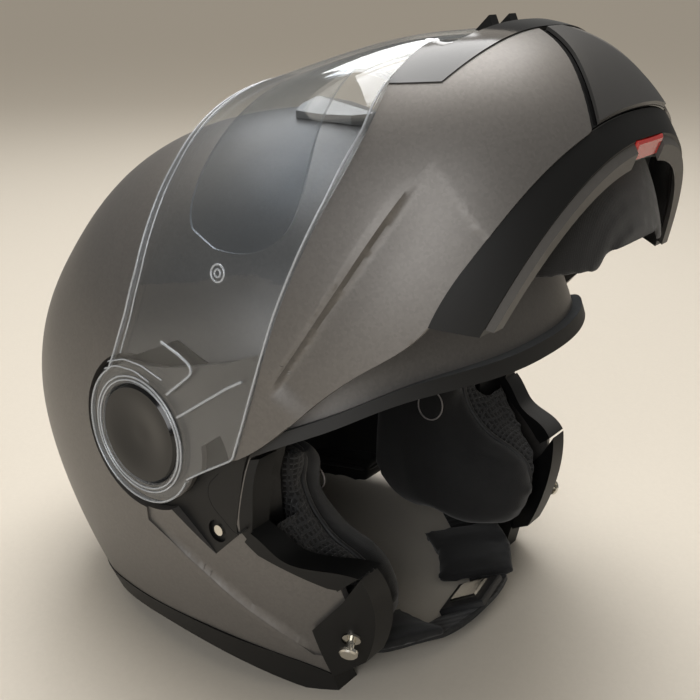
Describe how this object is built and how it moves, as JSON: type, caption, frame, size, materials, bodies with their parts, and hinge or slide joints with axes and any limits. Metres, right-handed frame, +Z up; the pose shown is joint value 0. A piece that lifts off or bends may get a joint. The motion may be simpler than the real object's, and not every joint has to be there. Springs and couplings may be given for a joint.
{
  "type": "modular motorcycle helmet",
  "caption": "Modular helmet with a lifting chin bar, a clear visor on the same side pivots, removable padding and a chin strap.",
  "frame": {"origin": "centre of the bounding box's base, on the table that the helmet stands on, with the chin bar raised", "axes": "+X to the wearer's left, -Y to the front where the face looks out, +Z up"},
  "size_m": [0.2572, 0.3404, 0.3111],
  "materials": {
    "satin_black": "satin black moulding",
    "seal_rubber": "soft black rubber",
    "bracket_grey": "dark grey moulding",
    "steel": "polished stainless steel",
    "mesh_fabric": "black spacer mesh",
    "comfort_fabric": "black brushed knit",
    "liner_foam": "black expanded foam",
    "grey_rubber": "grey rubber strip",
    "shell_paint": "dark titanium metallic flake under clear coat",
    "webbing": "black woven webbing",
    "gloss_black": "polished black moulding",
    "silver_vent": "silver lacquer",
    "clear_lens": "clear anti-fog film lens",
    "red_button": "red moulding",
    "clear_visor": "clear hard-coated polycarbonate"
  },
  "bodies": {
    "shell": {"base_trim": "satin_black", "brow_seal": "seal_rubber", "buckle": "bracket_grey", "buckle_lever": "steel", "cheek_pad_left": "mesh_fabric", "cheek_pad_right": "mesh_fabric", "chin_strap": "webbing", "corner_plate_left": "satin_black", "corner_plate_right": "satin_black", "crown_pad": "comfort_fabric", "crown_vent": "silver_vent", "impact_liner": "liner_foam", "neck_roll": "comfort_fabric", "outer_shell": "shell_paint", "pivot_cap_left": "gloss_black", "pivot_cap_right": "gloss_black", "pocket_pin_left": "steel", "pocket_pin_right": "steel", "rim_trim_left": "satin_black", "rim_trim_right": "satin_black", "side_plate_left": "satin_black", "side_plate_right": "satin_black", "strap_pad_left": "comfort_fabric", "strap_pad_right": "comfort_fabric", "striker_left": "steel", "striker_right": "steel"},
    "chin_bar": {"chin_curtain": "comfort_fabric", "chin_liner": "liner_foam", "chin_lower_trim": "satin_black", "chin_seal_left": "grey_rubber", "chin_seal_right": "grey_rubber", "chin_shell": "shell_paint", "chin_top_trim": "gloss_black", "chin_vent_surround": "gloss_black", "front_vent": "satin_black", "latch_hook_left": "steel", "latch_hook_right": "steel"},
    "visor": {"inner_lens": "clear_lens", "visor": "clear_visor", "visor_tab_left": "satin_black", "visor_tab_right": "satin_black"},
    "release_button": {"release_button": "red_button"}
  },
  "joints": [
    {"name": "chin_bar_flip", "type": "hinge", "parent": "shell", "child": "chin_bar", "pos_m": [0, 0.0102, 0.128], "axis": [-1, 0, 0], "range_deg": [-71, 0]},
    {"name": "visor_flip", "type": "hinge", "parent": "chin_bar", "child": "visor", "pos_m": [0, 0.0102, 0.128], "axis": [-1, 0, 0], "range_deg": [0, 45]},
    {"name": "release_button_press", "type": "slide", "parent": "chin_bar", "child": "release_button", "axis": [0, 0.9455, 0.3256], "range_m": [0, 0.004], "stiffness_N_per_m": 400}
  ]
}
